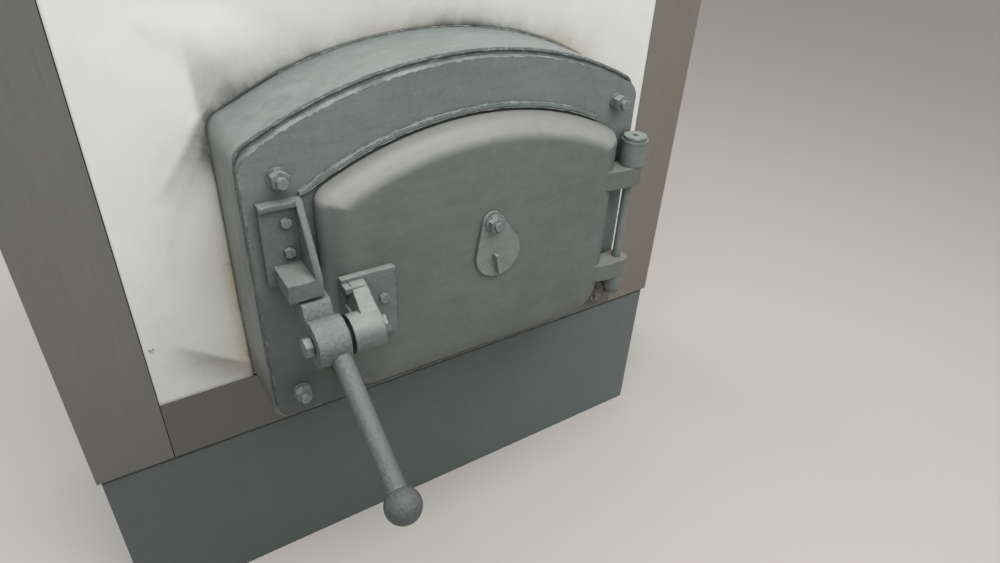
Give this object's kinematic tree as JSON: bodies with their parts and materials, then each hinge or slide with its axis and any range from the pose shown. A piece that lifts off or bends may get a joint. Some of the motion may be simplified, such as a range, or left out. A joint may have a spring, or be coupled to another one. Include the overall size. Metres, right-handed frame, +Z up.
{
  "type": "boiler front section with fire door",
  "caption": "Floor-standing boiler front section: sheet casing on a plinth, projecting mouthpiece with an arched, hinged fire door, latch lever with ball end and swinging sight-hole cover.",
  "frame": {"origin": "on the floor, in the middle of the whole object's footprint, which lies in the plane of the casing's front face", "axes": "+X to the right seen from the front, +Y into the boiler, +Z up"},
  "size_m": [1, 0.7802, 1.1],
  "materials": {
    "plinth_paint": "satin",
    "trim_steel": "brushed",
    "panel_white": "satin",
    "screw_steel": "satin",
    "wool": "matt",
    "plate_dark": "matt",
    "tunnel_steel": "matt",
    "mouth_paint": "satin",
    "frame_paint": "satin",
    "fixing_paint": "satin",
    "rope": "matt",
    "door_paint": "satin",
    "shield_steel": "matt",
    "bracket_paint": "satin",
    "cover_paint": "satin",
    "lever_paint": "satin"
  },
  "bodies": {
    "boiler_front": {"plinth": "plinth_paint", "left_trim": "trim_steel", "right_trim": "trim_steel", "low_strip": "trim_steel", "top_strip": "trim_steel", "front_panel": "panel_white", "left_side_panel": "panel_white", "right_side_panel": "panel_white", "top_cover": "panel_white", "panel_screws": "screw_steel", "front_insulation": "wool", "front_plate": "plate_dark", "furnace_tunnel": "tunnel_steel", "rear_plate": "plate_dark", "mouthpiece": "mouth_paint", "door_frame": "frame_paint", "frame_studs": "fixing_paint", "rope_seal": "rope", "keeper_bracket": "bracket_paint", "keeper_bolts": "fixing_paint", "hinge_rod": "fixing_paint"},
    "door": {"door_leaf": "door_paint", "heat_shield": "shield_steel", "shield_spacers": "shield_steel", "door_bracket": "bracket_paint", "bracket_bolts": "fixing_paint", "pivot_bolt": "fixing_paint", "sight_stud": "fixing_paint"},
    "cover": {"sight_cover": "cover_paint"},
    "lever": {"lever_hub": "lever_paint", "lever_rod": "lever_paint", "lever_ball": "lever_paint"}
  },
  "joints": [
    {"name": "door_hinge", "type": "hinge", "parent": "boiler_front", "child": "door", "pos_m": [0.264, -0.138, 0.58], "axis": [0, 0, 1], "range_deg": [0, 120]},
    {"name": "lever_pivot", "type": "hinge", "parent": "door", "child": "lever", "pos_m": [-0.22, -0.2, 0.578], "axis": [-1, 0, 0], "range_deg": [0, 60]},
    {"name": "sight_swing", "type": "hinge", "parent": "door", "child": "cover", "pos_m": [0.02, -0.155, 0.645], "axis": [0, 1, 0], "range_deg": [-110, 110]}
  ]
}
